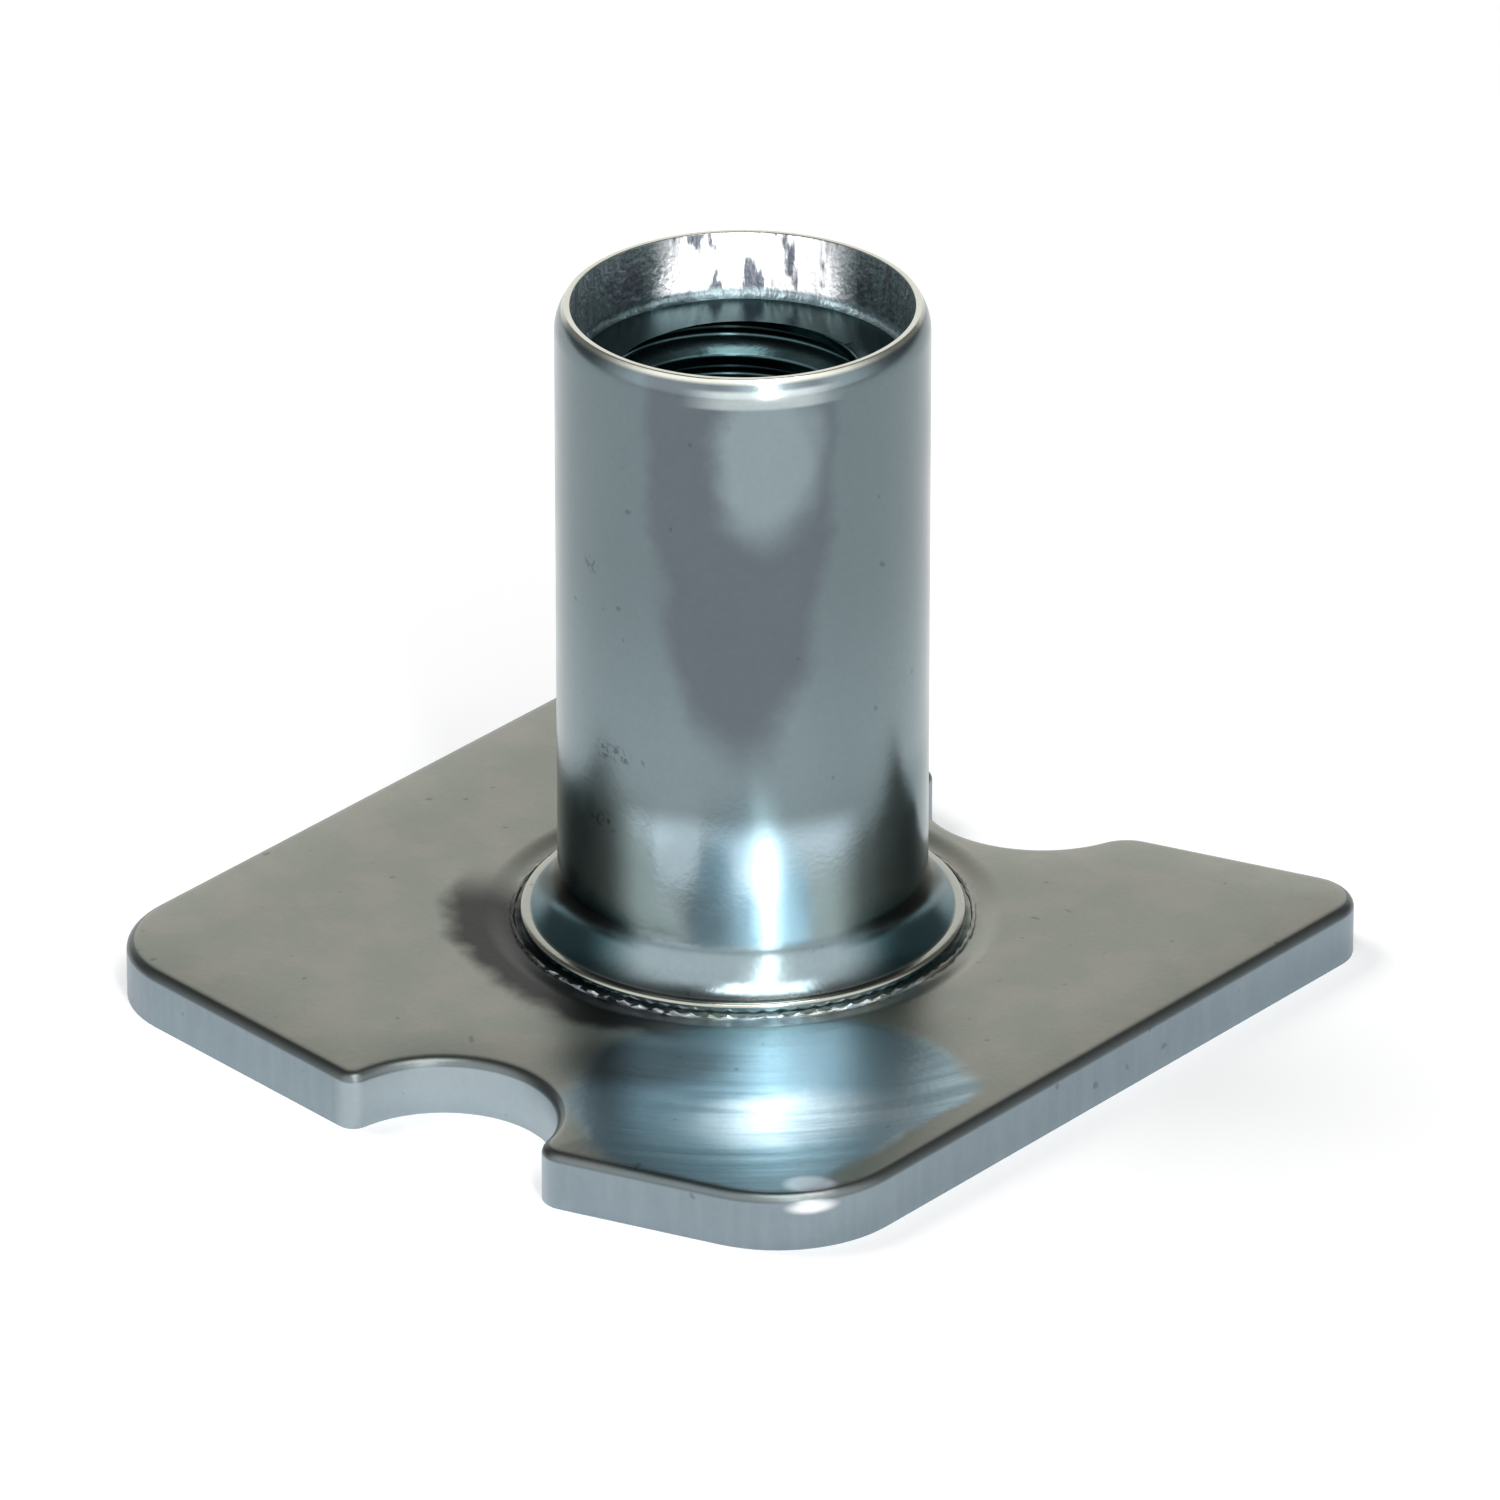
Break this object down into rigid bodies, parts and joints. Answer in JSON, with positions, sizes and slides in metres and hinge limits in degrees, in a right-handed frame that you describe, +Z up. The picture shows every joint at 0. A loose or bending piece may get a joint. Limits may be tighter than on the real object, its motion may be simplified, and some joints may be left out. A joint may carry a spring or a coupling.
{
  "type": "flanged barrel nut",
  "caption": "Tee nut: a threaded barrel with a thin flaring mouth, drawn up out of a flat flange with notched chevron ends.",
  "frame": {"origin": "on the barrel's axis, in the plane of the flange's underside", "axes": "+Z up the barrel from the flange to its thin mouth, +X along the flange from its pointed nose to its hollow tail, +Y to the flange's left"},
  "size_m": [0.0279, 0.027, 0.0212],
  "materials": {
    "zinc": "bright zinc plate over pressed steel"
  },
  "bodies": {
    "root": {"tee_nut": "zinc"}
  },
  "joints": []
}
